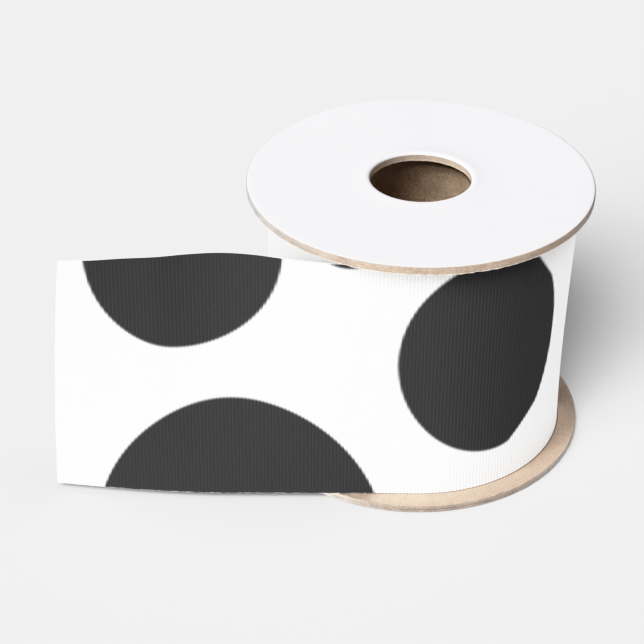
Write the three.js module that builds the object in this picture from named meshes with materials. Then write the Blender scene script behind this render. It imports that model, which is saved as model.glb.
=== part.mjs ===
// A spool of three-inch grosgrain ribbon: two board flanges glued to a board tube, the wound ribbon
// between them, and the ribbon's loose end standing on edge beside the roll.
// Millimetres, +Z up, the lower flange's underside at Z = 0.
import * as THREE from "three";

// Driving dimensions.
const ribbonWidth = 76.2;
const flangeRadius = 50;
const flangeThickness = 2.2;
const boreRadius = 14.35;
const tubeInnerRadius = 15.3;
const tubeWall = 2;
const woundRadius = 44.7;
const clearance = 0.3;
const slackAboveRibbon = 0.7;

// The thicker selvedges flare the roll's two ends, so its middle is this much hollow.
const windingHollow = 0.5;

// The loose end. It is built thicker than the real ribbon, which is about half a millimetre.
const sheetThickness = 1;
const leavingAngle = THREE.MathUtils.degToRad(-86.6);
const lowerEdgeLength = 104.9;
const upperEdgeLength = 99.3;
const cutEdgeBow = 0.7;

// The loose end's plan. Along is the distance travelled since the roll, and lower and upper are
// how far its two edges stand behind the straight line on which it leaves.
const looseEndPlan = [
  { along: clearance, lower: 0, upper: 0 },
  { along: 14, lower: -0.1, upper: 0.3 },
  { along: 27, lower: -0.2, upper: 1.3 },
  { along: 40, lower: -0.2, upper: 3.8 },
  { along: 50, lower: -0.2, upper: 6.2 },
  { along: 59, lower: -0.2, upper: 7.1 },
  { along: 68, lower: 0.2, upper: 6.3 },
  { along: 77, lower: 0.9, upper: 4.7 },
  { along: 87, lower: 2, upper: 3.8 },
  { along: 96, lower: 3.2, upper: 2.7 },
  { along: lowerEdgeLength, lower: 4.5, upper: 2.3 },
];

// Facets round a circle, and steps up and along the ribbon.
const flangeFacets = 96;
const tubeFacets = 64;
const windingFacets = 96;
const windingSteps = 6;
const sheetStepsAlong = 44;
const sheetStepsUp = 6;

const windingBase = flangeThickness + clearance;
const topFlangeBase = windingBase + ribbonWidth + slackAboveRibbon;
const tubeLength = topFlangeBase - flangeThickness - 2 * clearance;
const tubeOuterRadius = tubeInnerRadius + tubeWall;

const whiteBoard = new THREE.MeshStandardMaterial({ color: 0xf7f5f8, roughness: 0.85, metalness: 0 });
const kraftBoard = new THREE.MeshStandardMaterial({ color: 0xeed6be, roughness: 0.9, metalness: 0 });
const tubeBoard = new THREE.MeshStandardMaterial({ color: 0xa8886c, roughness: 0.92, metalness: 0 });
const ribbonCloth = new THREE.MeshStandardMaterial({ color: 0xf8f8f8, roughness: 0.75, metalness: 0 });
const looseCloth = new THREE.MeshStandardMaterial({ color: 0xe4e4e6, roughness: 0.75, metalness: 0 });

function circle(radius, facets) {
  return Array.from({ length: facets }, (_, index) => {
    const angle = (2 * Math.PI * index) / facets;
    return new THREE.Vector2(radius * Math.cos(angle), radius * Math.sin(angle));
  });
}

// A flat-ended ring whose outside is any outline and whose hole is round.
function ring(outline, holeRadius, facets, height, steps = 1) {
  const shape = new THREE.Shape(outline);
  shape.holes.push(new THREE.Path(circle(holeRadius, facets)));
  return new THREE.ExtrudeGeometry(shape, { depth: height, steps, bevelEnabled: false });
}

// One turn of the wound outside. It starts at full radius where the loose end leaves, and comes
// back round one sheet lower, so that the loose end lies in the step.
function windingOutline() {
  const stepDepth = sheetThickness + clearance;
  return Array.from({ length: windingFacets + 1 }, (_, index) => {
    const turn = index / windingFacets;
    const angle = leavingAngle + 2 * Math.PI * turn;
    const radius = woundRadius - stepDepth * turn;
    return new THREE.Vector2(radius * Math.cos(angle), radius * Math.sin(angle));
  });
}

// Draws the roll's outside in towards its middle height. The hole's wall stays straight.
function hollowTheSide(geometry) {
  const vertices = geometry.attributes.position;
  const midRadius = (woundRadius + tubeOuterRadius) / 2;
  for (let index = 0; index < vertices.count; index += 1) {
    const x = vertices.getX(index);
    const y = vertices.getY(index);
    const radius = Math.hypot(x, y);
    if (radius > midRadius) {
      const fromMiddle = (2 * vertices.getZ(index)) / ribbonWidth - 1;
      const drawnIn = windingHollow * (1 - fromMiddle * fromMiddle);
      const scale = (radius - drawnIn) / radius;
      vertices.setXY(index, x * scale, y * scale);
    }
  }
  return geometry;
}

const looseEndCurve = new THREE.CatmullRomCurve3(
  looseEndPlan.map((row) => new THREE.Vector3(row.along, row.lower, row.upper)),
);
const outward = new THREE.Vector2(Math.cos(leavingAngle), Math.sin(leavingAngle));
const onward = new THREE.Vector2(outward.y, -outward.x);

// How far the ribbon runs at a share of its width, 0 at the lower edge and 1 at the upper.
function lengthAt(shareUp) {
  const straightCut = THREE.MathUtils.lerp(lowerEdgeLength, upperEdgeLength, shareUp);
  return straightCut + cutEdgeBow * 4 * shareUp * (1 - shareUp);
}

// The printed face of the loose end in plan.
function printedFace(shareAlong, shareUp) {
  const row = looseEndCurve.getPoint(shareAlong);
  const along = (row.x * lengthAt(shareUp)) / lowerEdgeLength;
  const behind = THREE.MathUtils.lerp(row.y, row.z, shareUp);
  return outward.clone().multiplyScalar(woundRadius - behind).addScaledVector(onward, along);
}

// A box bent onto the printed face, with its thickness behind that face.
function looseEnd() {
  const geometry = new THREE.BoxGeometry(1, 1, 1, sheetStepsAlong, sheetStepsUp, 1);
  const vertices = geometry.attributes.position;
  const probe = 0.01;
  for (let index = 0; index < vertices.count; index += 1) {
    const shareAlong = vertices.getX(index) + 0.5;
    const shareUp = vertices.getY(index) + 0.5;
    const depth = (vertices.getZ(index) + 0.5) * sheetThickness;
    const before = printedFace(Math.max(shareAlong - probe, 0), shareUp);
    const after = printedFace(Math.min(shareAlong + probe, 1), shareUp);
    const heading = after.sub(before).normalize();
    const place = printedFace(shareAlong, shareUp);
    place.x += heading.y * depth;
    place.y -= heading.x * depth;
    vertices.setXYZ(index, place.x, place.y, windingBase + shareUp * ribbonWidth);
  }
  return geometry;
}

function piece(name, geometry, material, height = 0) {
  const mesh = new THREE.Mesh(geometry, material);
  mesh.name = name;
  mesh.position.z = height;
  return mesh;
}

function flange() {
  return ring(circle(flangeRadius, flangeFacets), boreRadius, tubeFacets, flangeThickness);
}

function coreTube() {
  return ring(circle(tubeOuterRadius, tubeFacets), tubeInnerRadius, tubeFacets, tubeLength);
}

function ribbonRoll() {
  const holeRadius = tubeOuterRadius + clearance;
  return hollowTheSide(ring(windingOutline(), holeRadius, tubeFacets, ribbonWidth, windingSteps));
}

const spool = new THREE.Group();
spool.add(piece("flange_bottom", flange(), kraftBoard));
spool.add(piece("core_tube", coreTube(), tubeBoard, windingBase));
spool.add(piece("ribbon_roll", ribbonRoll(), ribbonCloth, windingBase));
spool.add(piece("ribbon_tail", looseEnd(), looseCloth));
spool.add(piece("flange_top", flange(), whiteBoard, topFlangeBase));

// The origin is on the floor, under the middle of the whole length, loose end included.
const middle = new THREE.Box3().setFromObject(spool).getCenter(new THREE.Vector3());
spool.position.set(-middle.x, -middle.y, 0);

const part = new THREE.Group();
part.add(spool);

export default part;
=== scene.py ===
# %% [markdown]
# # A spool of grosgrain ribbon
# This file dresses a spool of wide ribbon for a studio picture. The construction model gives five
# solids: two round board flanges, the board tube between them, the wound ribbon and its loose end.
# It is the ruler here, and every piece below is made at the same place and size.
# The order is the one in which a spool is made: cut the boards, roll the tube, weave and print the
# ribbon, wind it, and let the end stand loose.

# %% Load the frame
import math
import random

import bpy
import numpy as np
from mathutils import Matrix, Vector, noise


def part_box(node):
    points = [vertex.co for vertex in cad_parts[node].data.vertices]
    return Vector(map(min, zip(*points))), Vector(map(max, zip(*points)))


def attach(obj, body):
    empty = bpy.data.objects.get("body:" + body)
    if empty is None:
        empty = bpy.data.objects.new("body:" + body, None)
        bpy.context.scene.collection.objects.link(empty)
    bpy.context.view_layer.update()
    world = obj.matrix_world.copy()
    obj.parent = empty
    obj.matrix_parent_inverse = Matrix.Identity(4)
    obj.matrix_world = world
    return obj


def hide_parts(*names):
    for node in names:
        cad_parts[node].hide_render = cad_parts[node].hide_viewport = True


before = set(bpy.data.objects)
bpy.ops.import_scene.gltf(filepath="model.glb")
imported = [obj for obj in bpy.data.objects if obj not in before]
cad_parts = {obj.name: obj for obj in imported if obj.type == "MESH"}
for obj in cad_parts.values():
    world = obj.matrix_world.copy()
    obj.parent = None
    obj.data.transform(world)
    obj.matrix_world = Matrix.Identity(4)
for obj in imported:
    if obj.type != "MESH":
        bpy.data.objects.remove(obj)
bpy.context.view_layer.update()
print("solids:", ", ".join(sorted(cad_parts)))

# %% [markdown]
# ## Reading the sizes
# Blender works in metres, and a spool is easier to think of in millimetres, so a size below is a
# number of millimetres times `MM`. Whatever the solids can tell is read from their boxes, and only
# what a box can't show, such as the spiral's pitch, is given here.

# %% Sizes from the solids
MM = 0.001

upper_low, upper_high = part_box("flange_top")
lower_low, lower_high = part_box("flange_bottom")
roll_low, roll_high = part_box("ribbon_roll")
tube_low, tube_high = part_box("core_tube")

axis = Vector(((upper_low.x + upper_high.x) / 2, (upper_low.y + upper_high.y) / 2, 0))
flange_radius = (upper_high.x - upper_low.x) / 2
board_thickness = upper_high.z - upper_low.z
tube_outer_radius = (tube_high.x - tube_low.x) / 2
ribbon_foot = roll_low.z
ribbon_width = roll_high.z - roll_low.z
print(f"flanges {2 * flange_radius / MM:.1f} mm across and {board_thickness / MM:.1f} mm thick")
print(f"ribbon {ribbon_width / MM:.1f} mm wide, its lower edge {ribbon_foot / MM:.1f} mm up")

# %% [markdown]
# ## Small helpers
# An operator works on whatever is selected, so each piece starts with nothing selected. A finished
# piece has its place in its mesh and its object at the origin, as the solids do. At the end the
# solid that it dresses is hidden, and the piece is set on the body it rides.

# %% Helpers for modelling
def deselect_everything():
    if bpy.context.object is not None and bpy.context.object.mode != "OBJECT":
        bpy.ops.object.mode_set(mode="OBJECT")
    bpy.ops.object.select_all(action="DESELECT")


def select_only(piece):
    deselect_everything()
    piece.select_set(True)
    bpy.context.view_layer.objects.active = piece


def settle(piece):
    """Moves the object's place, turn and size into its mesh."""
    select_only(piece)
    bpy.ops.object.transform_apply(location=True, rotation=True, scale=True)


def vertex_places(mesh):
    places = np.empty(len(mesh.vertices) * 3)
    mesh.vertices.foreach_get("co", places)
    return places.reshape(-1, 3)


def move_vertices(mesh, places):
    mesh.vertices.foreach_set("co", places.ravel())
    mesh.update()


def across_axis(places):
    """Where the points lie in plan, from the spool's axis, and how far out."""
    across = places[:, :2] - np.array((axis.x, axis.y))
    return across, np.hypot(across[:, 0], across[:, 1])


def keep_on_mesh(mesh, name, rows):
    """Keeps three numbers for each vertex, for a material to read."""
    attribute = mesh.attributes.new(name, "FLOAT_VECTOR", "POINT")
    attribute.data.foreach_set("vector", rows.astype(np.float32).ravel())


def hand_over(piece, node, sharp_angle):
    """Shades all but the sharp edges smooth, hides the solid that the piece dresses, and sets it on its
    body.
    """
    select_only(piece)
    bpy.ops.object.shade_smooth_by_angle(angle=math.radians(sharp_angle))
    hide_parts(node)
    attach(piece, "root")
    print(f"{piece.name}: {len(piece.data.polygons)} faces")
    return piece

# %% [markdown]
# ## The camera
# The view was measured from the picture: the spool's two rims, its bore and the foot of the roll
# fix how far, how high and how long a lens. The aim is a little off the spool, because the loose
# end takes up the left of the picture. Turning the camera does that, with no lens shift.

# %% Camera
camera_distance = 591.1 * MM
camera_elevation = math.radians(35.31)
camera_lens_mm = 106.44
camera_sensor_mm = 36
aim_yaw = math.radians(-3.334)
aim_pitch = math.radians(-2.605)
camera_roll = math.radians(0.236)


def camera_matrix():
    place = axis + camera_distance * Vector((0, -math.cos(camera_elevation), math.sin(camera_elevation)))
    dip = camera_elevation + aim_pitch
    ahead = Vector((math.sin(aim_yaw) * math.cos(dip), math.cos(aim_yaw) * math.cos(dip), -math.sin(dip)))
    right = Vector((math.cos(aim_yaw), -math.sin(aim_yaw), 0))
    up = right.cross(ahead)
    level = Matrix((right, up, -ahead)).transposed()
    return Matrix.Translation(place) @ level.to_4x4() @ Matrix.Rotation(camera_roll, 4, "Z")


def make_camera():
    data = bpy.data.cameras.new("camera")
    data.lens = camera_lens_mm
    data.sensor_width = camera_sensor_mm
    data.clip_start = 20 * MM
    data.clip_end = 20
    camera = bpy.data.objects.new("camera", data)
    bpy.context.scene.collection.objects.link(camera)
    camera.matrix_world = camera_matrix()
    bpy.context.scene.camera = camera


make_camera()
print(f"camera {camera_distance / MM:.0f} mm from the spool's foot")

# %% [markdown]
# ## Tools for materials
# A material here is a small program of nodes. These helpers add a node, wire a calculation and
# keep the wiring readable. A plain number goes straight onto its socket.

# %% Helpers for nodes
def new_material(name):
    material = bpy.data.materials.new(name)
    material.use_nodes = True
    return material, material.node_tree, material.node_tree.nodes["Principled BSDF"]


def add_node(tree, kind, **settings):
    made = tree.nodes.new(kind)
    for setting, value in settings.items():
        setattr(made, setting, value)
    return made


def connect(tree, value, socket):
    if isinstance(value, bpy.types.NodeSocket):
        tree.links.new(value, socket)
    else:
        socket.default_value = value


def calculate(tree, operation, *values):
    made = add_node(tree, "ShaderNodeMath", operation=operation)
    for value, socket in zip(values, made.inputs):
        connect(tree, value, socket)
    return made.outputs["Value"]


def blend_colour(tree, share, first, second, mode="MIX"):
    made = add_node(tree, "ShaderNodeMix", data_type="RGBA", blend_type=mode)
    colour_sockets = [socket for socket in made.inputs if socket.type == "RGBA"]
    connect(tree, share, made.inputs["Factor"])
    connect(tree, first, colour_sockets[0])
    connect(tree, second, colour_sockets[1])
    return next(socket for socket in made.outputs if socket.type == "RGBA")


def soft_step(tree, value, start, end):
    """0 below start and 1 above end, with a smooth ramp between them."""
    made = add_node(tree, "ShaderNodeMapRange", interpolation_type="SMOOTHSTEP")
    connect(tree, value, made.inputs["Value"])
    connect(tree, start, made.inputs["From Min"])
    connect(tree, end, made.inputs["From Max"])
    return made.outputs["Result"]


fine = {"detail": 3.0, "roughness": 0.6}


def noise_at(tree, vector, scale, detail=2.0, roughness=0.5):
    made = add_node(tree, "ShaderNodeTexNoise")
    connect(tree, vector, made.inputs["Vector"])
    connect(tree, scale, made.inputs["Scale"])
    made.inputs["Detail"].default_value = detail
    made.inputs["Roughness"].default_value = roughness
    return made.outputs["Fac"]


def length_of(tree, x, y):
    squares = calculate(tree, "ADD", calculate(tree, "MULTIPLY", x, x), calculate(tree, "MULTIPLY", y, y))
    return calculate(tree, "SQRT", squares)


def reach_along(tree, x, y, direction):
    """How far a point lies in one direction of the plane."""
    across = calculate(tree, "MULTIPLY", y, float(direction[1]))
    return calculate(tree, "MULTIPLY_ADD", x, float(direction[0]), across)


def shade_from(tree, dark, share):
    """A shade that rises from dark, where the share is 0, to 1, where it is 1."""
    return calculate(tree, "MULTIPLY_ADD", share, 1 - dark, dark)

# %% [markdown]
# ## Where a pattern lies
# A pattern must not slide when the spool is moved, so it lies on Object coordinates, or on numbers
# that the mesh keeps for each vertex. What it makes then goes to the surface as a colour, a
# roughness and a fine bump.

# %% Helpers for places and surfaces
def object_place(tree):
    return add_node(tree, "ShaderNodeTexCoord").outputs["Object"]


def parts_of(tree, vector):
    made = add_node(tree, "ShaderNodeSeparateXYZ")
    tree.links.new(vector, made.inputs["Vector"])
    return made.outputs["X"], made.outputs["Y"], made.outputs["Z"]


def kept_on_mesh(tree, name):
    """The three numbers that the mesh keeps under this name."""
    return parts_of(tree, add_node(tree, "ShaderNodeAttribute", attribute_name=name).outputs["Vector"])


def mapped(tree, vector, **settings):
    """The vector moved, turned or stretched by a Mapping node."""
    made = add_node(tree, "ShaderNodeMapping")
    tree.links.new(vector, made.inputs["Vector"])
    for label, value in settings.items():
        made.inputs[label].default_value = value
    return made.outputs["Vector"]


def shaded(tree, colour, shade):
    """The colour made lighter and darker by a shade around 1."""
    grey = add_node(tree, "ShaderNodeCombineColor")
    for channel in grey.inputs:
        tree.links.new(shade, channel)
    return blend_colour(tree, 1.0, colour, grey.outputs["Color"], mode="MULTIPLY")


def finish_surface(tree, shader, colour, roughness, shine):
    connect(tree, colour, shader.inputs["Base Color"])
    shader.inputs["Roughness"].default_value = roughness
    shader.inputs["Specular IOR Level"].default_value = shine


def add_bump(tree, shader, height, distance, strength):
    made = add_node(tree, "ShaderNodeBump")
    connect(tree, height, made.inputs["Height"])
    made.inputs["Distance"].default_value = distance
    made.inputs["Strength"].default_value = strength
    tree.links.new(made.outputs["Normal"], shader.inputs["Normal"])

# %% [markdown]
# ## Effects that more than one finish uses
# Kraft board is pressed from short fibres that lie in all directions, with paler and darker specks
# among them. One node group makes that once. Two slightly stretched noises at different turns give
# the fibres, a coarse one gives the cloudiness, and a third picks out flecks of another colour.
# Where board or thread is torn, the border between two colours wanders. A second group makes such
# a border from any measure. Each finish places the groups with its own values.

# %% Tools for node groups
def new_group(name, inputs, outputs):
    """An empty node group, what it is given by name, and what it gives back by name."""
    group = bpy.data.node_groups.new(name, "ShaderNodeTree")
    for label in inputs:
        kind = "NodeSocketVector" if label == "Place" else "NodeSocketFloat"
        group.interface.new_socket(label, in_out="INPUT", socket_type=kind)
    for label in outputs:
        group.interface.new_socket(label, in_out="OUTPUT", socket_type="NodeSocketFloat")
    given = group.nodes.new("NodeGroupInput").outputs
    result = group.nodes.new("NodeGroupOutput").inputs
    return group, given, result


def placed_group(tree, group, **values):
    """The outputs of a group that lies on Object coordinates and has these values."""
    made = add_node(tree, "ShaderNodeGroup", node_tree=group)
    connect(tree, object_place(tree), made.inputs["Place"])
    for label, value in values.items():
        connect(tree, value, made.inputs[label])
    return made.outputs

# %% Board fibres
# Columns: how far a layer of fibres is turned, in degrees, and how finely it is drawn each way.
fibre_layers = ((25, (1100, 2600, 1900)), (115, (1300, 3100, 2200)))
cloud_scale = 190.0
fleck_scale = 1250.0
fleck_from, fleck_full = 0.48, 0.72


def make_fibre_group():
    group, given, result = new_group(
        "board_fibres", ("Place", "Fibre", "Cloud"), ("Shade", "Height", "Fleck"),
    )
    layers = []
    for turn, stretch in fibre_layers:
        lying = mapped(group, given["Place"], Rotation=(0, 0, math.radians(turn)), Scale=stretch)
        layers.append(noise_at(group, lying, 1.0, **fine))
    centred = calculate(group, "SUBTRACT", calculate(group, "ADD", *layers), 1.0)
    clouds = noise_at(group, given["Place"], cloud_scale, detail=3.0, roughness=0.55)
    cloud = calculate(group, "SUBTRACT", clouds, 0.5)
    fibre_part = calculate(group, "MULTIPLY", centred, given["Fibre"])
    cloud_part = calculate(group, "MULTIPLY", cloud, given["Cloud"])
    both = calculate(group, "ADD", fibre_part, cloud_part)
    flecks = soft_step(group, noise_at(group, given["Place"], fleck_scale), fleck_from, fleck_full)
    connect(group, calculate(group, "ADD", both, 1.0), result["Shade"])
    connect(group, calculate(group, "ADD", centred, 0.5), result["Height"])
    connect(group, flecks, result["Fleck"])
    return group


fibre_group = make_fibre_group()


def fibres_on(tree, fibre, cloud):
    """The fibres' shade, height and flecks."""
    made = placed_group(tree, fibre_group, Fibre=fibre, Cloud=cloud)
    return made["Shade"], made["Height"], made["Fleck"]

# %% Torn borders
torn_softness = 0.15


def make_torn_group():
    group, given, result = new_group(
        "torn_border", ("Place", "Value", "Reach", "Wander", "Scale"), ("Mask",),
    )
    centred = calculate(group, "SUBTRACT", noise_at(group, given["Place"], given["Scale"], **fine), 0.5)
    moved = calculate(group, "MULTIPLY_ADD", centred, given["Wander"], given["Value"])
    past = calculate(group, "SUBTRACT", moved, given["Reach"])
    start = calculate(group, "MULTIPLY", given["Wander"], -torn_softness)
    end = calculate(group, "MULTIPLY", given["Wander"], torn_softness)
    outside = soft_step(group, past, start, end)
    connect(group, calculate(group, "SUBTRACT", 1.0, outside), result["Mask"])
    return group


torn_group = make_torn_group()


def ragged_below(tree, value, reach, wander, scale):
    """1 where the value is under the reach, with a border that wanders like torn fibres."""
    return placed_group(tree, torn_group, Value=value, Reach=reach, Wander=wander, Scale=scale)["Mask"]


print("node groups:", fibre_group.name, "and", torn_group.name)

# %% [markdown]
# ## Board finishes
# The flanges are kraft board with a white paper liner on the outside. The liner is smooth and cool
# white, and along the rim in front it has worn back by half a millimetre, so the tan board shows.
# The kraft face is a warm peach tan, and the cut edge is rougher and darker, because the knife
# opens the fibres and leaves a thin pale burr of them on the kraft side. On the lower flange the
# burr has gone, the plies have parted a little, and the edge is a darker tan. A painted shade
# darkens the gap between its plies. Both edges are painted greyer away from the front, for the grey
# light that falls on that side. The mesh keeps `board_place`: how far in from the cut a vertex is,
# how far up from the kraft side, and how much the rim faces the front, where it is most worn and lit.

# %% Colours and measures of the boards
liner_white = (0.876, 0.844, 0.893, 1)
kraft_face_tan = (0.715, 0.553, 0.436, 1)
kraft_fleck_tan = (0.67, 0.475, 0.34, 1)
clean_edge_tan = (0.41, 0.315, 0.243, 1)
# Painted light: the greyer colours of the cut edges on the side away from the front.
clean_edge_painted_grey = (0.36, 0.34, 0.325, 1)
# The lower flange's cut edge is a darker tan than the upper one's.
lower_flange_edge_tan = (0.365, 0.292, 0.243, 1)
lower_flange_edge_painted_grey = (0.6, 0.53, 0.47, 1)
bore_edge_tan = (0.4, 0.32, 0.256, 1)
bore_ply_tan = (0.5, 0.41, 0.33, 1)
burr_pale = (0.78, 0.68, 0.6, 1)
tube_brown = (0.2, 0.143, 0.097, 1)
tube_fleck = (0.27, 0.19, 0.125, 1)
liner_margin, worn_margin = -0.02 * MM, 0.5 * MM
streak_stretch = (260, 260, 2600)
streak_strength = 0.6
# Height, wander and width of the painted shade in the gap between the plies.
gap_height, gap_height_wander, gap_scale = 0.95 * MM, 0.3 * MM, 160.0
gap_closed, gap_spread, gap_spread_scale = -0.1 * MM, 0.5 * MM, 75.0
gap_least = 0.03 * MM

# %% The two faces of a flange
def make_liner():
    material, tree, shader = new_material("white_paper_liner")
    shade, height, _ = fibres_on(tree, fibre=0.03, cloud=0.04)
    inset, _, wear_and_light = kept_on_mesh(tree, "board_place")
    margin = calculate(tree, "MULTIPLY_ADD", wear_and_light, worn_margin, liner_margin)
    worn = ragged_below(tree, inset, margin, wander=0.2 * MM, scale=900.0)
    colour = blend_colour(tree, worn, liner_white, clean_edge_tan)
    finish_surface(tree, shader, shaded(tree, colour, shade), roughness=0.7, shine=0.3)
    add_bump(tree, shader, height, distance=0.03 * MM, strength=0.35)
    return material


def make_kraft_face():
    material, tree, shader = new_material("kraft_face")
    shade, height, fleck = fibres_on(tree, fibre=0.38, cloud=0.28)
    inset, _, _ = kept_on_mesh(tree, "board_place")
    burr = ragged_below(tree, inset, 0.05 * MM, wander=0.5 * MM, scale=1500.0)
    speckled = blend_colour(tree, fleck, kraft_face_tan, kraft_fleck_tan)
    colour = blend_colour(tree, burr, speckled, burr_pale)
    finish_surface(tree, shader, shaded(tree, colour, shade), roughness=0.88, shine=0.2)
    add_bump(tree, shader, height, distance=0.05 * MM, strength=0.5)
    return material

# %% The cut edges
def ply_gap_painted_shade(tree, up, gap_shade):
    """A painted shade in the gap between the plies, which wanders and is wider where they have parted more.
    """
    place = object_place(tree)
    higher = noise_at(tree, place, gap_scale)
    middle = calculate(tree, "MULTIPLY_ADD", higher, gap_height_wander, gap_height)
    away = calculate(tree, "ABSOLUTE", calculate(tree, "SUBTRACT", up, middle))
    wider = noise_at(tree, place, gap_spread_scale)
    width = calculate(tree, "MULTIPLY_ADD", wider, gap_spread, gap_closed)
    clear = soft_step(tree, away, 0.0, calculate(tree, "MAXIMUM", width, gap_least))
    return shade_from(tree, gap_shade, clear)


def make_cut_edge(name, tan, far_painted_colour, far_painted_until, gap_shade, burr_reach):
    """A cut edge: tan, painted greyer for the light on the side turned from the front, a gap shade, a burr.
    """
    material, tree, shader = new_material(name)
    shade, height, _ = fibres_on(tree, fibre=0.75, cloud=0.6)
    _, up, wear_and_light = kept_on_mesh(tree, "board_place")
    streaks = noise_at(tree, mapped(tree, object_place(tree), Scale=streak_stretch), 1.0, **fine)
    streak_shade = calculate(tree, "MULTIPLY_ADD", streaks, streak_strength, 1 - streak_strength / 2)
    # Painted light: away from the front the tan turns to the greyer colour.
    painted_side_colour = blend_colour(tree, soft_step(tree, wear_and_light, far_painted_until, 1.0), far_painted_colour, tan)
    burr = ragged_below(tree, up, burr_reach, wander=0.4 * MM, scale=1300.0)
    colour = blend_colour(tree, burr, painted_side_colour, burr_pale)
    dark = calculate(tree, "MULTIPLY", shade, streak_shade)
    # The darkness of the ply gap is a painted shade.
    dark = calculate(tree, "MULTIPLY", ply_gap_painted_shade(tree, up, gap_shade), dark)
    finish_surface(tree, shader, shaded(tree, colour, dark), roughness=0.95, shine=0.1)
    add_bump(tree, shader, height, distance=0.12 * MM, strength=0.7)
    return material


def make_bore_edge():
    """The punched edge of the bore: darker plies above and one paler ply at the kraft side."""
    material, tree, shader = new_material("kraft_bore_edge")
    shade, height, _ = fibres_on(tree, fibre=0.6, cloud=0.4)
    _, up, _ = kept_on_mesh(tree, "board_place")
    pale_ply = ragged_below(tree, up, 0.45 * MM, wander=0.3 * MM, scale=300.0)
    colour = blend_colour(tree, pale_ply, bore_edge_tan, bore_ply_tan)
    finish_surface(tree, shader, shaded(tree, colour, shade), roughness=0.95, shine=0.1)
    add_bump(tree, shader, height, distance=0.08 * MM, strength=0.6)
    return material

# %% The tube, and all board finishes
def make_tube_board():
    material, tree, shader = new_material("tube_board")
    shade, height, fleck = fibres_on(tree, fibre=0.9, cloud=0.8)
    colour = blend_colour(tree, fleck, tube_brown, tube_fleck)
    finish_surface(tree, shader, shaded(tree, colour, shade), roughness=0.9, shine=0.2)
    add_bump(tree, shader, height, distance=0.08 * MM, strength=0.6)
    return material


white_liner = make_liner()
kraft_face = make_kraft_face()
# Both cut edges are painted greyer away from the front, for the light on that side.
clean_edge = make_cut_edge(
    "kraft_cut_edge", clean_edge_tan, clean_edge_painted_grey,
    far_painted_until=0.4, gap_shade=1.0, burr_reach=0.14 * MM,
)
# The lower flange's edge: a darker tan, a painted shade in its ply gap, and no burr.
lower_flange_edge = make_cut_edge(
    "kraft_lower_flange_edge", lower_flange_edge_tan, lower_flange_edge_painted_grey,
    far_painted_until=0.76, gap_shade=0.5, burr_reach=-0.3 * MM,
)
bore_edge = make_bore_edge()
tube_finish = make_tube_board()
board_finishes = (white_liner, kraft_face, clean_edge, lower_flange_edge, bore_edge, tube_finish)
print("board finishes:", ", ".join(material.name for material in board_finishes))

# %% [markdown]
# ## Turning a ring
# A flange or a tube is the same shape all the way round, so it is drawn as a profile and turned.
# A spin would do it. Here one ring of edges is extruded and scaled from point to point of the
# profile instead, which makes the same rings by hand and lets each be placed by its real radius.

# %% Ring from a profile
def turn_profile(name, profile, facets):
    """Extrudes a ring of edges through the profile's (radius, height) points and closes it."""
    deselect_everything()
    radius, height = profile[0]
    centre = (axis.x, axis.y, height)
    bpy.ops.mesh.primitive_circle_add(vertices=facets, radius=radius, fill_type="NOTHING", location=centre)
    piece = bpy.context.object
    piece.name = piece.data.name = name
    settle(piece)
    bpy.ops.object.mode_set(mode="EDIT")
    bpy.ops.mesh.select_all(action="SELECT")
    for next_radius, next_height in profile[1:] + profile[:1]:
        rise = (0, 0, next_height - height)
        bpy.ops.mesh.extrude_region_move(TRANSFORM_OT_translate={"value": rise})
        spread = next_radius / radius
        centre = (axis.x, axis.y, next_height)
        bpy.ops.transform.resize(value=(spread, spread, 1), center_override=centre)
        radius, height = next_radius, next_height
    bpy.ops.mesh.select_all(action="SELECT")
    bpy.ops.mesh.remove_doubles(threshold=0.005 * MM)
    bpy.ops.mesh.normals_make_consistent(inside=False)
    bpy.ops.object.mode_set(mode="OBJECT")
    return piece

# %% [markdown]
# ## The flanges
# Each flange is two plies of kraft board under a white liner, cut with one stroke of a round knife.
# The knife presses the liner down a little at both rims, so the face rolls off there. It drags
# some board out at the kraft side, which leaves a thin lip. On the lower flange the plies have
# parted at the cut, which leaves a groove round it, darkened further by a painted shade. A cut edge
# is read here from the liner down to the kraft side, in short tables, and the one for the gap is
# left out where no plies part.

# %% Profile of a flange
# Columns: how far in from the cut, and how far up from the kraft side, in millimetres.
pressed_rim_mm = [
    (3.2, 2.2), (1.9, 2.19), (1.2, 2.175), (0.8, 2.155), (0.5, 2.12), (0.3, 2.06), (0.13, 1.96),
    (0.03, 1.83), (0, 1.68),
]
pressed_bore_mm = [
    (3.2, 2.2), (2.2, 2.2), (1.6, 2.2), (1.15, 2.195), (0.8, 2.185), (0.5, 2.17), (0.28, 2.14),
    (0.12, 2.09), (0.03, 2.0), (0, 1.88),
]
parted_plies_mm = [(0.02, 1.3), (0.18, 1.15), (0.18, 1.05), (0.03, 0.92)]
kraft_lip_mm = [
    (0, 0.6), (0, 0.2), (0.01, 0), (0.06, -0.1), (0.16, -0.14), (0.32, -0.1), (0.6, -0.02), (1.0, 0),
]
plain_rings_mm = (18.8, 20.5, 23, 27, 32, 37, 41, 44.5)
bore_radius = 14.35 * MM
edge_band = 1.0 * MM
liner_inset = 0.28 * MM
flange_facets = 720


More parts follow.
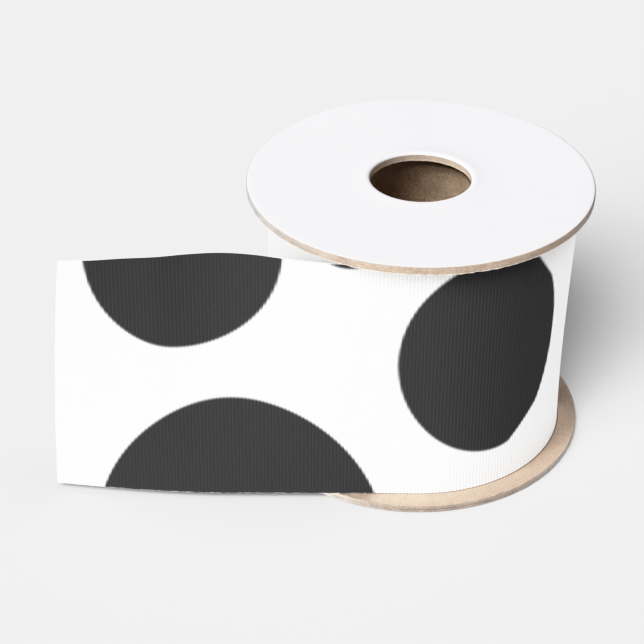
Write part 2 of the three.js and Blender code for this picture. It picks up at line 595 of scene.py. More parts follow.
def flange_profile(kraft_height, rise, parted):
    """The closed profile of one flange as (radius, height) points: rim, kraft side, bore, liner."""
    def cut(radius, outwards, table_mm):
        return [(radius + outwards * inset * MM, kraft_height + rise * up * MM) for inset, up in table_mm]

    below_liner = (parted_plies_mm if parted else []) + kraft_lip_mm
    rim = cut(flange_radius, -1, pressed_rim_mm + below_liner)
    bore = cut(bore_radius, 1, pressed_bore_mm + below_liner)
    liner_height = kraft_height + rise * board_thickness
    kraft_rings = [(radius * MM, kraft_height) for radius in reversed(plain_rings_mm)]
    liner_rings = [(radius * MM, liner_height) for radius in plain_rings_mm]
    return rim + kraft_rings + bore[::-1] + liner_rings

# %% [markdown]
# ## Wear on the cut edge
# A real cut edge is never a clean circle. Two kinds of wear are moved into the vertices: a fine
# roughness all round, and a few nicks where the board was knocked. They go only into the board, so
# the flange keeps its size. The gap between the plies wanders a little, and the lip is ragged.

# %% Rough edges and nicks
roughness_depth = 0.07 * MM
roughness_scale = 700.0
roughness_squash = 1.5
liner_depth = 0.2 * MM
liner_roughness_share = 0.35
seam_from, seam_to = 0.9 * MM, 1.3 * MM
seam_wander = 0.07 * MM
seam_scale = 160.0
lip_up_to = 0.01 * MM
lip_raggedness = 0.17 * MM
lip_scale = 620.0
nick_count = 13
nick_half_widths_mm = (0.5, 1.4)
nick_depths_mm = (0.12, 0.42)
nick_height = 1.0 * MM
kraft_side_share = 0.75


def nick_table(seed):
    """Angle, half width in radians, depth and which side of the board, for each nick."""
    rng = random.Random(seed)
    table = []
    for _ in range(nick_count):
        angle = rng.uniform(-math.pi, math.pi)
        half_width = rng.uniform(*nick_half_widths_mm) * MM / flange_radius
        depth = rng.uniform(*nick_depths_mm) * MM
        table.append((angle, half_width, depth, rng.random() < kraft_side_share))
    return table


def nicked_by(angle, up, nicks):
    """How deep the nicks have cut at this angle and height."""
    cut = 0.0
    for nick_angle, half_width, depth, kraft_side in nicks:
        away = (angle - nick_angle + math.pi) % (2 * math.pi) - math.pi
        from_side = up if kraft_side else board_thickness - up
        if abs(away) < 3 * half_width and from_side < nick_height:
            cut += depth * (1 - from_side / nick_height) * math.exp(-((away / half_width) ** 2))
    return cut


def wear_edge(piece, kraft_height, rise, seed):
    """Roughens the outer edge and the bore's edge, and cuts the nicks."""
    nicks = nick_table(seed)
    places = vertex_places(piece.data)
    for place in places:
        x, y, z = place
        across = Vector((x - axis.x, y - axis.y))
        radius = across.length
        up = (z - kraft_height) * rise
        outer = radius > flange_radius - edge_band
        if not outer and radius > bore_radius + edge_band:
            continue
        share = liner_roughness_share if up > board_thickness - liner_depth else 1.0
        spot = Vector((x, y, z * roughness_squash)) * roughness_scale + Vector((seed, 0, 0))
        worn = roughness_depth * abs(noise.noise(spot)) * share
        if outer:
            worn += nicked_by(math.atan2(across.y, across.x), up, nicks)
        inward = (radius - worn) / radius if outer else (radius + worn) / radius
        place[:2] = axis.x + across.x * inward, axis.y + across.y * inward
        in_plan = Vector((place[0], place[1], 0))
        if seam_from < up < seam_to:
            place[2] += seam_wander * noise.noise(in_plan * seam_scale + Vector((0, seed, 0)))
        elif up < lip_up_to:
            hang = noise.noise(in_plan * lip_scale + Vector((0, 0, seed)))
            place[2] -= rise * lip_raggedness * hang
    move_vertices(piece.data, places)

# %% [markdown]
# ## Which finish goes where
# Each face of the disc gets its finish by where it lies: the liner outside, the kraft inside, and a
# cut edge at the rim and at the bore. The borders between them are too fine for whole faces, so the
# materials draw those from `board_place`. The rim is most worn in front, where hands took it, and is
# most lit there, so the same number also paints the cut edges greyer away from the front.

# %% Places and finishes on the board
# The side where the rim is most worn and most lit, and how fast that falls off round it.
most_worn_and_lit_side = math.radians(-78)
wear_and_light_falloff = 1.5
liner_from = 1.9 * MM
kraft_up_to = 0.05 * MM
facing_kraft_side = -0.75


def remember_board_places(piece, kraft_height, rise):
    """Keeps how far in from the cut, how far up from the kraft side, and how worn and how lit each point
    is.
    """
    places = vertex_places(piece.data)
    across, radius = across_axis(places)
    from_rim, from_bore = flange_radius - radius, radius - bore_radius
    up = (places[:, 2] - kraft_height) * rise
    direction = np.arctan2(across[:, 1], across[:, 0])
    worn_and_lit_side = (0.5 + 0.5 * np.cos(direction - most_worn_and_lit_side)) ** wear_and_light_falloff
    wear_and_light = worn_and_lit_side * (from_rim < from_bore)
    keep_on_mesh(piece.data, "board_place", np.column_stack([np.minimum(from_rim, from_bore), up, wear_and_light]))


def paint_flange(piece, kraft_height, rise, cut_edge):
    """Liner on the outside face, kraft on the inside face, and cut edges on the rest."""
    for material in (cut_edge, white_liner, kraft_face, bore_edge):
        piece.data.materials.append(material)
    liner_slot, kraft_slot, bore_slot = 1, 2, 3
    for face in piece.data.polygons:
        up = (face.center.z - kraft_height) * rise
        radius = math.hypot(face.center.x - axis.x, face.center.y - axis.y)
        inset = min(flange_radius - radius, radius - bore_radius + liner_inset)
        if up > liner_from and inset > liner_inset:
            face.material_index = liner_slot
        elif face.normal.z * rise < facing_kraft_side and up < kraft_up_to:
            face.material_index = kraft_slot
        elif radius < bore_radius + edge_band:
            face.material_index = bore_slot

# %% [markdown]
# ## A board is never quite flat
# The upper flange was glued on slightly skew and its board has curled, so the far side stands about
# a millimetre higher than the near side, most of all at one place. A short table says how high the
# rim stands in each direction. The tube under it pushes its middle up by a third of a millimetre.
# The punch has left the bore a little oval, and a low ring of raised paper round it, whose inner
# slope catches the light on the far side and lies in shade on the left. The lower flange lies flat,
# but it was cut a little oval, longest from front to back.

# %% Warp, pressed bore and oval rim
# Columns: direction in degrees, 0 to the right and 90 to the back, and the rim's lift in
# millimetres. The softening averages the lift over these turns, in degrees.
rim_lift_mm = np.array([
    (-90, 0), (0, 0), (25, 0.35), (60, 0.5), (88, 0.67), (98, 1.05), (109, 1.3), (121, 1.0), (136, 0.55),
    (151, 0.05), (175, 0), (270, 0),
])
lift_softening = np.linspace(-8, 8, 9)
dome_rise = 0.3 * MM
bore_stretch = np.array((1.02, 1.0))
bore_shift = np.array((0.07, -0.15)) * MM
bore_pull_reach = 3.0 * MM
ring_rise = 0.3 * MM
ring_width = 1.2 * MM
ring_up_from = 1.7 * MM
lower_stretch = np.array((1.002, 1.016))


def warp_flange(piece):
    """Lifts the far side and the middle, makes the bore oval and raises the ring round it."""
    places = vertex_places(piece.data)
    across, radius = across_axis(places)
    direction = (np.degrees(np.arctan2(across[:, 1], across[:, 0])) + 90) % 360 - 90
    sides = [(direction + turn + 90) % 360 - 90 for turn in lift_softening]
    lift = np.mean([np.interp(side, *rim_lift_mm.T) * MM for side in sides], axis=0)
    on_liner = places[:, 2] > upper_low.z + ring_up_from
    inset = np.maximum(radius - bore_radius, 0)
    share_in = 1 - inset / (flange_radius - bore_radius)
    places[:, 2] += lift * (radius / flange_radius) ** 2 + dome_rise * share_in
    places[:, 2] += ring_rise * inset / ring_width * np.exp(1 - inset / ring_width) * on_liner
    pull = np.exp(-((inset / bore_pull_reach) ** 2))
    places[:, :2] += (across * (bore_stretch - 1) + bore_shift) * pull[:, None]
    move_vertices(piece.data, places)


def stretch_flange(piece):
    """Makes the rim oval and leaves the bore round."""
    places = vertex_places(piece.data)
    across, radius = across_axis(places)
    share_out = np.clip((radius - bore_radius) / (flange_radius - bore_radius), 0, 1)
    places[:, :2] += across * (lower_stretch - 1) * share_out[:, None]
    move_vertices(piece.data, places)

# %% [markdown]
# ## Making a flange
# Both flanges are made by the same steps, in a maker's order: turn the disc, wear its edges, note
# where each point lies on the board, lay on the finishes, and only then warp or stretch it. Rise
# says which way the white liner faces, 1 for up and -1 for down.

# %% The steps for a flange
def make_flange(name, node, kraft_height, rise, cut_edge, parted, reshape, seed):
    piece = turn_profile(name, flange_profile(kraft_height, rise, parted), flange_facets)
    wear_edge(piece, kraft_height, rise, seed)
    remember_board_places(piece, kraft_height, rise)
    paint_flange(piece, kraft_height, rise, cut_edge)
    reshape(piece)
    return hand_over(piece, node, sharp_angle=38)

# %% Both flanges
upper_flange = make_flange(
    "upper_flange", "flange_top", upper_low.z, rise=1,
    cut_edge=clean_edge, parted=False, reshape=warp_flange, seed=3,
)
lower_flange = make_flange(
    "lower_flange", "flange_bottom", lower_high.z, rise=-1,
    cut_edge=lower_flange_edge, parted=True, reshape=stretch_flange, seed=8,
)

# %% [markdown]
# ## The tube
# The tube is rolled from strips of brown board. Only its inside shows, through the bore, so its
# wall gets the faces and the outside stays plain. It isn't quite round, as such tubes never are.

# %% Board tube
tube_wall = 2.0 * MM
tube_soft_edge = 0.25 * MM
tube_rows = 40
tube_facets = 180
tube_unevenness = 0.12 * MM
tube_dent_scale = 90


def make_tube():
    inner = tube_outer_radius - tube_wall
    soft = tube_soft_edge
    heights = np.linspace(tube_low.z + soft, tube_high.z - soft, tube_rows)
    profile = [(inner, float(height)) for height in heights]
    profile += [(inner + soft, tube_high.z), (tube_outer_radius - soft, tube_high.z)]
    profile += [(tube_outer_radius, tube_high.z - soft), (tube_outer_radius, tube_low.z + soft)]
    profile += [(tube_outer_radius - soft, tube_low.z), (inner + soft, tube_low.z)]
    piece = turn_profile("board_tube", profile, tube_facets)
    places = vertex_places(piece.data)
    for place in places:
        across = Vector((place[0] - axis.x, place[1] - axis.y))
        if across.length < inner + soft:
            dent = tube_unevenness * noise.noise(Vector(place) * tube_dent_scale)
            place[0] += across.x / across.length * dent
            place[1] += across.y / across.length * dent
    move_vertices(piece.data, places)
    piece.data.materials.append(tube_finish)
    return hand_over(piece, "core_tube", sharp_angle=40)


board_tube = make_tube()

# %% [markdown]
# ## How a wound ribbon lies
# The ribbon is easiest to make flat, as it is woven: a long strip with a place along it, a height
# across it and a front. The next cells say where each point of that strip goes on the spool.
# Along is 0 where the loose end leaves the roll. Above 0 the strip winds on to a spiral that gets
# smaller by one pitch a turn, and below 0 it runs out as the loose end, on the same short table of
# distances as the solid. The middle of the winding is a little hollow, because the thicker
# selvedges flare its ends. On the right the pull of the loose end has slackened the outermost
# turn, so that it leans out by about a millimetre towards its upper edge. The foot of the turn has
# settled a tenth of a millimetre.

# %% Sizes of the winding
wound_radius = 44.7 * MM
winding_pitch = 0.55 * MM
ribbon_thickness = 0.4 * MM
winding_hollow = 0.5 * MM
hollow_fade = 14 * MM
leaving_angle = math.radians(-86.6)
innermost_radius = tube_outer_radius + 0.5 * MM
slack_lean = 1.4 * MM
slack_tuck = 0.2 * MM
slack_late = 2.3
slack_arc = math.radians(170)
foot_sag = 0.11 * MM
sag_reach = 14 * MM

# %% Plan of the loose end
lower_edge_length = 104.9 * MM
upper_edge_length = 99.3 * MM
cut_edge_bow = 0.7 * MM
bow_reach = 18 * MM

# Columns: distance out along the loose end, and how far its lower and its upper edge stand behind
# the straight line on which it leaves, all in millimetres.
loose_end_plan_mm = np.array([
    (-10, 0, 0), (0.3, 0, 0), (14, -0.1, 0.3), (27, -0.2, 1.3), (40, -0.2, 3.8), (50, -0.2, 6.2),
    (59, -0.2, 7.1), (68, 0.2, 6.3), (77, 0.9, 4.7), (87, 2, 3.8), (96, 3.2, 2.7), (104.9, 4.5, 2.3),
    (112, 5.5, 2.1),
])

outward = np.array((math.cos(leaving_angle), math.sin(leaving_angle)))
onward = np.array((outward[1], -outward[0]))

# %% Places on the loose end and on the winding
def smooth_through(at, stations, values):
    """A smooth curve through a short table, with each slope taken from the point's neighbours."""
    slopes = np.gradient(values, stations)
    left = np.clip(np.searchsorted(stations, at) - 1, 0, len(stations) - 2)
    span = stations[left + 1] - stations[left]
    x = np.clip((at - stations[left]) / span, 0, 1)
    ends = (1 + 2 * x) * (1 - x) ** 2 * values[left] + x * x * (3 - 2 * x) * values[left + 1]
    bends = x * (1 - x) ** 2 * slopes[left] - x * x * (1 - x) * slopes[left + 1]
    return ends + span * bends


def hollow_at(share_up):
    return winding_hollow * (1 - (2 * share_up - 1) ** 2)


def slack_at(turned, share_up):
    """How far the outermost turn stands off the winding, an angle on from where it leaves."""
    swell = np.where(turned < slack_arc, np.sin(math.pi * turned / slack_arc) ** 2, 0)
    return swell * (slack_lean * np.sin(math.pi * share_up / 2) ** slack_late - slack_tuck)


def loose_end_place(out, share_up):
    """Plan position of the loose end, a distance out from where it leaves the roll."""
    length = lower_edge_length + (upper_edge_length - lower_edge_length) * share_up
    station = out * lower_edge_length / length / MM
    lower = smooth_through(station, loose_end_plan_mm[:, 0], loose_end_plan_mm[:, 1]) * MM
    upper = smooth_through(station, loose_end_plan_mm[:, 0], loose_end_plan_mm[:, 2]) * MM
    behind = lower + (upper - lower) * share_up + hollow_at(share_up) * np.exp(-out / hollow_fade)
    bow = cut_edge_bow * 4 * share_up * (1 - share_up) * np.exp((out - length) / bow_reach)
    return np.outer(wound_radius - behind, outward) + np.outer(out + bow, onward)


def wound_place(along, share_up):
    """Plan position on the spiral, a distance along it from where the loose end leaves."""
    under_root = np.maximum(wound_radius**2 - winding_pitch * along / math.pi, 0)
    turned = (wound_radius - np.sqrt(under_root)) * 2 * math.pi / winding_pitch
    radius = wound_radius - winding_pitch * turned / (2 * math.pi)
    depth = (radius - tube_outer_radius) / (wound_radius - tube_outer_radius)
    radius = radius - hollow_at(share_up) * depth + slack_at(turned, share_up)
    angle = leaving_angle + turned
    return np.stack([radius * np.cos(angle), radius * np.sin(angle)], axis=1)


def sag_at(along, share_up):
    """How far the ribbon's foot has settled towards the lower flange, fading out on the loose end."""
    x = np.clip(1 + along / sag_reach, 0, 1)
    return foot_sag * x * x * (3 - 2 * x) * (1 - share_up) ** 2

# %% Both as one mapping
def ribbon_surface(along, up):
    """The printed face in space, for flat places along and across the ribbon."""
    share_up = np.clip(up / ribbon_width, 0, 1)
    loose = loose_end_place(np.maximum(-along, 0), share_up)
    wound = wound_place(np.maximum(along, 0), share_up)
    plan = np.where((along < 0)[:, None], loose, wound)
    height = ribbon_foot + up - sag_at(along, share_up)
    return np.column_stack([axis.x + plan[:, 0], axis.y + plan[:, 1], height])


def lay_on_spool(flat):
    """Takes flat points (along, up, out of the face) to their places on the spool."""
    along, up, out = flat.T
    step = 0.05 * MM
    run = ribbon_surface(along + step, up) - ribbon_surface(along - step, up)
    rise = ribbon_surface(along, up + step) - ribbon_surface(along, up - step)
    normal = np.cross(run, rise)
    normal /= np.linalg.norm(normal, axis=1)[:, None]
    return ribbon_surface(along, up) + normal * out[:, None]


full_turns = (wound_radius - innermost_radius) / winding_pitch
full_angle = full_turns * 2 * math.pi
wound_length = wound_radius * full_angle - winding_pitch * full_angle**2 / (4 * math.pi)
print(f"{full_turns:.1f} turns, {wound_length:.2f} m wound and {lower_edge_length:.3f} m loose")

# %% [markdown]
# ## The ribs
# Grosgrain is woven with thick cords across it, so both faces have fine ribs. They are a tenth of
# a millimetre high and a millimetre apart, and they catch the light one by one all over the roll,
# so they are real geometry here and not only bump. The strip is a grid with four columns to a rib.
# Its rows crowd towards the selvedges, where the cords turn round and make a tiny scalloped edge.

# %% Weaving the strip flat
rib_pitch = 1.03 * MM
rib_height = 0.115 * MM
rib_fullness = 0.8
columns_per_rib = 4
selvedge_width = 1.1 * MM
selvedge_thickening = 0.05 * MM
scallop = 0.07 * MM
edge_row = 0.01 * MM


def rib_ridge(along):
    """1 on the crest of a rib and 0 in the groove between two."""
    return np.abs(np.sin(math.pi * along / rib_pitch)) ** rib_fullness


def flat_strip(name, start, end, columns, rows):
    """A flat grid from start to end along the ribbon, with rows that crowd towards its edges."""
    deselect_everything()
    bpy.ops.mesh.primitive_grid_add(x_subdivisions=columns, y_subdivisions=rows, size=1)
    strip = bpy.context.object
    strip.name = strip.data.name = name
    places = vertex_places(strip.data)
    share_along = places[:, 0] + 0.5
    share_up = 0.5 - 0.5 * np.cos(math.pi * (places[:, 1] + 0.5))
    places[:, 0] = start + (end - start) * share_along
    places[:, 1] = ribbon_width * share_up
    move_vertices(strip.data, places)
    return strip

# %% Thickness, ribs and selvedges
def thicken(strip):
    """Gives the flat strip its thickness, behind the printed face."""
    select_only(strip)
    solid = strip.modifiers.new("thickness", "SOLIDIFY")
    solid.thickness = ribbon_thickness
    solid.offset = -1
    bpy.ops.object.modifier_apply(modifier=solid.name)


def raise_ribs(places):
    """Raises ribs on both faces of a flat thick strip, and thickens its selvedges."""
    along, up, out = places.T
    ridge = rib_ridge(along)
    front = out > -ribbon_thickness / 2
    from_edge = np.minimum(up, ribbon_width - up)
    edge = np.clip(1 - from_edge / selvedge_width, 0, 1)
    relief = rib_height * ridge + selvedge_thickening * edge
    raised = np.where(front, out + relief - rib_height, out - relief + rib_height)
    side = np.where(up > ribbon_width / 2, 1, -1)
    spread = up + side * scallop * (ridge - 0.5) * (from_edge < edge_row)
    return np.column_stack([along, spread, raised])


def remember_flat_places(strip, flat):
    """Keeps each point's flat place on the mesh, where the printed pattern reads it."""
    front = flat[:, 2] > -ribbon_thickness / 2
    keep_on_mesh(strip.data, "flat_place", np.column_stack([flat[:, :2], np.where(front, 0.0, 1.0)]))

# %% [markdown]
# ## The print
# The ribbon is printed on its face with large black dots. The dots are a formula: for each row of
# the table, the distance from a centre is measured in the dot's own half lengths, and everything
# nearer than 1 is ink. One dot is a little flat on two sides, so there the distance from a straight
# line counts as well. The ink sits on whole ribs, so the place along the ribbon is rounded part
# of the way to the nearest rib, which gives the fine stepped outline that a printed rib has. Ink
# feathers into the threads, and even a thin film of it takes most of the light, so the bare share
# of the cloth falls off faster than the film does.

# %% Print table
# Columns: centre along and up, then the half length towards the loose end, the half length away
# from it, and the half height, all in millimetres.
print_dots_mm = [
    (-68.0, 79.4, 24.5, 29.1, 31.5),
    (-52.7, -22.5, 42.0, 43.8, 54.0),
    (-21.2, 95.3, 14.0, 14.0, 20.0),
    (23.1, 44.7, 29.9, 22.1, 32.7),
    (100.0, 6.0, 29.0, 29.0, 30.0),
    (128.0, 68.0, 27.0, 27.0, 28.0),
    (166.0, 18.0, 28.0, 28.0, 31.0),
    (214.0, 26.0, 25.0, 25.0, 27.0),
    (262.0, -4.0, 29.0, 29.0, 30.0),
]
# The dot at the front of the roll is flat on two sides, where the screen lifted early: which dot it
# is, and for each side which way it faces, in degrees, and how far it is from the centre.
flat_sided_dot = 3
flat_sides_mm = [(-50.5, 27.7), (37.8, 25.8)]
ink_feather = 0.85 * MM
ink_inside, ink_outside = 0.84, 1.16
ink_cover = 2.2
rib_snap = 0.35
print(len(print_dots_mm), "dots are charted")

# %% The dots as a mask
def rib_places(tree):
    """A point's height on the ribbon, its face, its rib, and its place along rounded to the ribs."""
    along, up, back = kept_on_mesh(tree, "flat_place")
    ribs = calculate(tree, "DIVIDE", along, rib_pitch)
    whole = calculate(tree, "FLOOR", ribs)
    centre = calculate(tree, "MULTIPLY", calculate(tree, "ADD", whole, 0.5), rib_pitch)
    shift = calculate(tree, "SUBTRACT", centre, along)
    snapped = calculate(tree, "MULTIPLY_ADD", shift, rib_snap, along)
    return up, back, ribs, whole, snapped


def dot_mask(tree, along, up, dot):
    """1 inside a printed dot and 0 outside it, through a feathered edge."""
    centre_along, centre_up, toward, away, half_height = (size * MM for size in dot)
    aside = calculate(tree, "SUBTRACT", along, centre_along)
    risen = calculate(tree, "SUBTRACT", up, centre_up)
    before = calculate(tree, "LESS_THAN", aside, 0.0)
    half_length = calculate(tree, "MULTIPLY_ADD", before, toward - away, away)
    x = calculate(tree, "DIVIDE", aside, half_length)
    y = calculate(tree, "DIVIDE", risen, half_height)
    distance = length_of(tree, x, y)
    if dot == print_dots_mm[flat_sided_dot]:
        for facing, reach in flat_sides_mm:
            turn = math.radians(facing)
            faces = (math.cos(turn) / (reach * MM), math.sin(turn) / (reach * MM))
            distance = calculate(tree, "MAXIMUM", distance, reach_along(tree, aside, risen, faces))
    edge = ink_feather / half_height
    bare = soft_step(tree, distance, 1 - ink_inside * edge, 1 + ink_outside * edge)
    return calculate(tree, "SUBTRACT", 1.0, calculate(tree, "POWER", bare, ink_cover))

# %% [markdown]
# ## The ribbon's finish
# Polyester grosgrain is matt with a slight sheen. Besides the print, the material adds what is too
# fine for the mesh: the warp threads that cross each rib, alternately in and out, and a painted
# shade in the groove between two ribs. The back is unprinted, and the dots show through it only faintly.

# %% Ribbon material
cloth_white = (0.9, 0.9, 0.9, 1)
ink_black = (0.035, 0.035, 0.036, 1)
painted_groove_shade = 0.79
thread_unevenness = 0.2
thread_scale = 900.0
warp_pitch = 0.3 * MM
show_through = 0.1


def thread_height(tree, up, ribs, whole):
    """Warp threads over each rib, shifted by half a thread on every second rib."""
    odd = calculate(tree, "MODULO", whole, 2.0)
    turns = calculate(tree, "DIVIDE", up, warp_pitch / (2 * math.pi))
    wave = calculate(tree, "SINE", calculate(tree, "MULTIPLY_ADD", odd, math.pi, turns))
    ridge = calculate(tree, "ABSOLUTE", calculate(tree, "SINE", calculate(tree, "MULTIPLY", ribs, math.pi)))
    return calculate(tree, "MULTIPLY", calculate(tree, "MULTIPLY_ADD", wave, 0.5, 0.5), ridge), ridge


def printed_ink(tree, snapped, up, back):
    """The dots, but for the foot's selvedge, which takes no ink, and faint on the back."""
    ink = 0.0
    for dot in print_dots_mm:
        ink = calculate(tree, "MAXIMUM", ink, dot_mask(tree, snapped, up, dot))
    unprinted = ragged_below(tree, up, 0.03 * MM, wander=0.3 * MM, scale=900.0)
    ink = calculate(tree, "MULTIPLY", ink, calculate(tree, "SUBTRACT", 1.0, unprinted))
    on_back = soft_step(tree, back, 0.45, 0.55)
    strength = calculate(tree, "MULTIPLY_ADD", on_back, show_through - 1, 1.0)
    return calculate(tree, "MULTIPLY", ink, strength)


def make_ribbon_material():
    material, tree, shader = new_material("printed_grosgrain")
    up, back, ribs, whole, snapped = rib_places(tree)
    colour = blend_colour(tree, printed_ink(tree, snapped, up, back), cloth_white, ink_black)
    threads, ridge = thread_height(tree, up, ribs, whole)
    # Painted shade: the colour is darkened in the groove between two ribs.
    groove = shade_from(tree, painted_groove_shade, soft_step(tree, ridge, 0.0, 0.5))
    centred = calculate(tree, "SUBTRACT", noise_at(tree, object_place(tree), thread_scale, **fine), 0.5)
    uneven = calculate(tree, "MULTIPLY_ADD", centred, thread_unevenness, 1.0)
    shade = calculate(tree, "MULTIPLY", groove, uneven)
    finish_surface(tree, shader, shaded(tree, colour, shade), roughness=0.8, shine=0.015)
    add_bump(tree, shader, threads, distance=0.03 * MM, strength=0.5)
    return material


printed_grosgrain = make_ribbon_material()

# %% [markdown]
# ## The outer turn and the loose end
# These are one length of ribbon, and they are all of it that is seen, so they get the fine grid.
# The strip is woven flat, and its end is cut with a bisect along a slanted line, as scissors
# would. Then it gets its thickness and its ribs, and only then goes on to the spool.

# %% Outer turn with the loose end
outer_overlap = 6 * MM
outer_turn_length = 2 * math.pi * wound_radius + outer_overlap
strip_start = -math.ceil(lower_edge_length / rib_pitch + 1) * rib_pitch
strip_ribs = math.ceil((outer_turn_length - strip_start) / rib_pitch)
strip_end = strip_start + strip_ribs * rib_pitch
outer_rows = 24
print(f"{strip_ribs} ribs on the outer turn and the loose end")


def cut_the_end(strip):
    """Cuts the loose end off along the line from its lower length to its upper length."""
    foot = Vector((-lower_edge_length, 0, 0))
    head = Vector((-upper_edge_length, ribbon_width, 0))
    line = (head - foot).normalized()
    normal = (-line.y, line.x, 0)
    select_only(strip)
    bpy.ops.object.mode_set(mode="EDIT")
    bpy.ops.mesh.select_all(action="SELECT")
    bpy.ops.mesh.bisect(plane_co=foot, plane_no=normal, clear_outer=True)
    bpy.ops.object.mode_set(mode="OBJECT")


def make_outer_turn():
    columns = strip_ribs * columns_per_rib
    strip = flat_strip("outer_turn_and_loose_end", strip_start, strip_end, columns, outer_rows)
    cut_the_end(strip)
    thicken(strip)
    flat = vertex_places(strip.data)
    remember_flat_places(strip, flat)
    move_vertices(strip.data, lay_on_spool(raise_ribs(flat)))
    strip.data.materials.append(printed_grosgrain)
    return hand_over(strip, "ribbon_tail", sharp_angle=50)


outer_turn = make_outer_turn()

# %% [markdown]
# ## The inner turns
# Under the outer turn the same ribbon goes round nearly fifty times. Only its edges can be seen,
# in the narrow gap under the upper flange, so this strip has few columns and no ribs. It is a true
# spiral all the same, with a hair of air between its turns.

# %% Inner turns
inner_column = 3.0 * MM
inner_rows = 4
inner_start = strip_end + 0.5 * MM
turn_wander = 0.12 * MM
turn_wander_scale = 3.1


def make_inner_turns():
    columns = round((wound_length - inner_start) / inner_column)
    strip = flat_strip("inner_turns", inner_start, wound_length, columns, inner_rows)
    thicken(strip)
    flat = vertex_places(strip.data)
    remember_flat_places(strip, flat)
    placed = lay_on_spool(flat)
    wander = np.array([noise.noise(Vector((along * turn_wander_scale, 0, 0))) for along in flat[:, 0]])
    placed[:, 2] += turn_wander * wander
    move_vertices(strip.data, placed)
    strip.data.materials.append(printed_grosgrain)
    return hand_over(strip, "ribbon_roll", sharp_angle=50)


inner_turns = make_inner_turns()

# %% [markdown]
# ## The cloth
# Both lengths are sheets of cloth, and the loose end is cut on a slant.

# %% [markdown]
# ## Where the ribbon stands on the board
# A painted shade darkens a thin line of the kraft face where the ribbon's foot stands, for the
# little light that gets in under it. Only now is it known where the ribbon stands, so the painted
# line is added to the board's finish here: a circle under the roll, and a straight run under the loose end.

# %% Painted shade under the ribbon's foot
painted_foot_shade = 0.35
painted_foot_shade_middle = 0.3 * MM
painted_foot_shade_half_width = 0.45 * MM


# Adds a painted shade to the kraft face: a thin dark line where the ribbon's foot stands.
def add_painted_foot_shade(material):
    tree = material.node_tree
    shader = tree.nodes["Principled BSDF"]
    finish = shader.inputs["Base Color"].links[0].from_socket
    x, y, _ = parts_of(tree, mapped(tree, object_place(tree), Location=(-axis.x, -axis.y, 0)))
    radius = length_of(tree, x, y)
    ahead = reach_along(tree, x, y, outward)
    aside = reach_along(tree, x, y, onward)
    on_loose_side = calculate(tree, "GREATER_THAN", aside, 0.0)
    difference = calculate(tree, "SUBTRACT", ahead, radius)
    reach = calculate(tree, "MULTIPLY_ADD", difference, on_loose_side, radius)
    off_line = calculate(tree, "SUBTRACT", wound_radius - painted_foot_shade_middle, reach)
    away = calculate(tree, "ABSOLUTE", off_line)
    plain = soft_step(tree, away, 0.5 * painted_foot_shade_half_width, painted_foot_shade_half_width)
    shade = shade_from(tree, painted_foot_shade, plain)
    connect(tree, shaded(tree, finish, shade), shader.inputs["Base Color"])


add_painted_foot_shade(kraft_face)

# %% [markdown]
# ## Floor and light
# The picture is a plain studio shot: a pale floor with no horizon, a broad soft light from the
# front left, and light from all round that fills the shadows. Studios flag a lamp off the floor to
# set the floor's grey apart from the object's brightness. Light linking is Blender's flag: each
# lamp names a collection of what it may reach. Here the floor, the boards, the ribbon and the tube
# each have lamps of their own. The floor is a mid grey under strong lamps, so it looks pale, and
# yet the white ribbon throws little glow on it.

# %% Floor
floor_grey = (0.2, 0.2, 0.2, 1)
floor_size = 12
floor_drop = 0.03 * MM


def make_floor():
    deselect_everything()
    place = (0, 0, lower_low.z - floor_drop)
    bpy.ops.mesh.primitive_plane_add(size=floor_size, location=place)
    plane = bpy.context.object
    plane.name = "floor"
    material, tree, shader = new_material("floor")
    finish_surface(tree, shader, floor_grey, roughness=1.0, shine=0.0)
    plane.data.materials.append(material)
    return plane


floor = make_floor()
print(f"floor {floor_size} m across")

# %% [markdown]
# ## The lamps
# Each lamp is a sun, which shines the same way everywhere and is as soft as it is wide. A table
# says how strong each is, where it stands and what it reaches: three for the floor and its shadow,
# three for the boards, four for the ribbon, and two steep ones that get down into the tube.

# %% How a lamp is set
def add_sun(name, strength, spread, azimuth, elevation):
    """A distant light. Azimuth is the side that it comes from, 0 in front and 90 on the right."""
    data = bpy.data.lights.new(name, "SUN")
    data.energy = strength
    data.angle = math.radians(spread)
    sun = bpy.data.objects.new(name, data)
    bpy.context.scene.collection.objects.link(sun)
    turn, lift = math.radians(azimuth), math.radians(elevation)
    towards = Vector((math.sin(turn) * math.cos(lift), -math.cos(turn) * math.cos(lift), math.sin(lift)))
    sun.rotation_euler = towards.to_track_quat("Z", "Y").to_euler()
    return sun


def reaches_only(light, pieces):
    """Flags the light off everything but these pieces."""
    reached = bpy.data.collections.new(light.name + "_reaches")
    for piece in pieces:
        reached.objects.link(piece)
    light.light_linking.receiver_collection = reached


def light_from_all_round(strength):
    world = bpy.data.worlds.new("studio")
    world.use_nodes = True
    background = world.node_tree.nodes["Background"]
    background.inputs["Color"].default_value = (1, 1, 1, 1)
    background.inputs["Strength"].default_value = strength
    bpy.context.scene.world = world

# %% All lamps
boards = (upper_flange, lower_flange)
ribbon = (outer_turn, inner_turns)
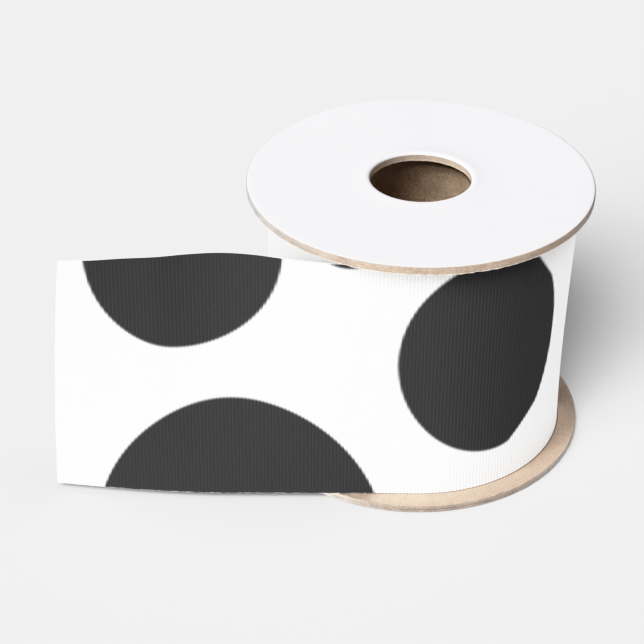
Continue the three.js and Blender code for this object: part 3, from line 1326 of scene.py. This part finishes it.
# Columns: strength, then width, azimuth and elevation in degrees, and what the lamp reaches.
lamp_table = {
    "floor_key": (13.12, 28, -14, 48, (floor,)),
    "floor_low_left": (7.11, 30, -40, 25, (floor,)),
    "floor_high_right": (2.39, 30, 90, 65, (floor,)),
    "board_key": (4.14, 30, -45, 24, boards),
    "board_front": (0.91, 30, 0, 24, boards),
    "board_high_left": (1.72, 30, -120, 56, boards),
    "ribbon_key": (2.17, 30, -45, 24, ribbon),
    "ribbon_high_key": (1.31, 30, -45, 36, ribbon),
    "ribbon_top": (3.48, 30, 0, 56, ribbon),
    "ribbon_rear_right": (1.4, 30, 120, 12, ribbon),
    "tube_slanting": (3.36, 20, -50, 60, (board_tube,)),
    "tube_steep": (12.85, 20, -75, 75, (board_tube,)),
}
sky_strength = 0.169
for lamp_name, (strength, spread, azimuth, elevation, reached) in lamp_table.items():
    reaches_only(add_sun(lamp_name, strength, spread, azimuth, elevation), reached)
light_from_all_round(sky_strength)
print(len(lamp_table), "lamps:", ", ".join(lamp_table))

# %% [markdown]
# ## The film
# A camera's film doesn't clip. Its curve has a toe in the blacks, is straight up to the mid tones
# and bends over in the whites, so that white ribs under a strong lamp still show. The view's own
# curves do the same. The table has the light that comes in and what the picture keeps of it.

# %% Film curve
film_white = 2.5
film_straight = 0.6
film_curve = [
    (0, 0), (0.02, 0.0133), (0.04, 0.031), (0.06, 0.051), (0.1, 0.0932), (0.16, 0.157), (0.25, 0.249),
    (0.6, 0.6), (0.7, 0.69), (0.85, 0.8), (1.0, 0.88), (1.15, 0.926), (1.35, 0.962), (1.6, 0.985), (2, 1),
]


def develop():
    view = bpy.context.scene.view_settings
    view.view_transform = "Standard"
    view.use_curve_mapping = True
    mapping = view.curve_mapping
    mapping.white_level = (film_white, film_white, film_white)
    points = mapping.curves[3].points
    for _ in range(len(film_curve) - len(points)):
        points.new(0.5, 0.5)
    for point, (light, kept) in zip(points, film_curve):
        point.location = (light / film_white, kept)
        point.handle_type = "VECTOR" if light <= film_straight else "AUTO_CLAMPED"
    mapping.update()


develop()
print(f"film: light 1 is kept as {dict(film_curve)[1]}, light {film_curve[-1][0]} as white")
